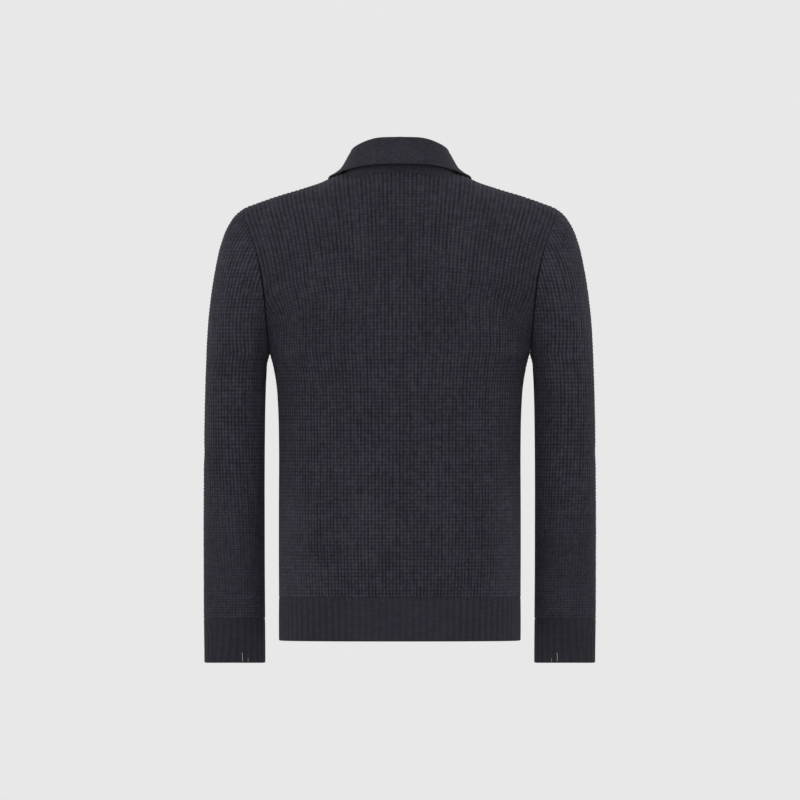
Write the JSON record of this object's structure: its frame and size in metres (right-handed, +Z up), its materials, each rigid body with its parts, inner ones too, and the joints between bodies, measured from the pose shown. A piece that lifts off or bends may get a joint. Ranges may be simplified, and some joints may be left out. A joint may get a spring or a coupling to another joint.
{
  "type": "zip-up sweater",
  "caption": "Knitted zip-up sweater with a fold-down collar, long sleeves and ribbed hem and cuffs, hollow and filled out as worn.",
  "frame": {"origin": "middle of the neck opening, level with the points where the shoulders meet the neck", "axes": "+X towards the wearer's left, the front faces -Y, +Z up the wearer's body"},
  "size_m": [0.5654, 0.2498, 0.7574],
  "materials": {
    "waffle_knit": "dark navy waffle-rib knit, matt, slightly fuzzy",
    "rib_knit": "dark navy rib knit, matt",
    "collar_knit": "dark navy fine plain knit, matt",
    "zip_tape": "dark woven zip tape",
    "zip_metal": "dark satin metal"
  },
  "bodies": {
    "garment": {"back_panel": "waffle_knit", "front_left": "waffle_knit", "front_right": "waffle_knit", "sleeve_left_crown": "waffle_knit", "sleeve_left_head": "waffle_knit", "sleeve_left_upper": "waffle_knit", "sleeve_left_lower": "waffle_knit", "sleeve_right_crown": "waffle_knit", "sleeve_right_head": "waffle_knit", "sleeve_right_upper": "waffle_knit", "sleeve_right_lower": "waffle_knit", "hem_back": "rib_knit", "hem_front_left": "rib_knit", "hem_front_right": "rib_knit", "cuff_left": "rib_knit", "cuff_right": "rib_knit", "collar": "collar_knit", "zip_tape_left": "zip_tape", "zip_tape_right": "zip_tape", "zip_chain": "zip_metal", "zip_end_box": "zip_metal", "zip_slider": "zip_metal"},
    "pull_tab": {"zip_pull": "zip_metal"}
  },
  "joints": [
    {"name": "pull_hinge", "type": "hinge", "parent": "garment", "child": "pull_tab", "pos_m": [0, -0.09259, -0.07462], "axis": [-1, 0, 0], "range_deg": [0, 120]}
  ]
}
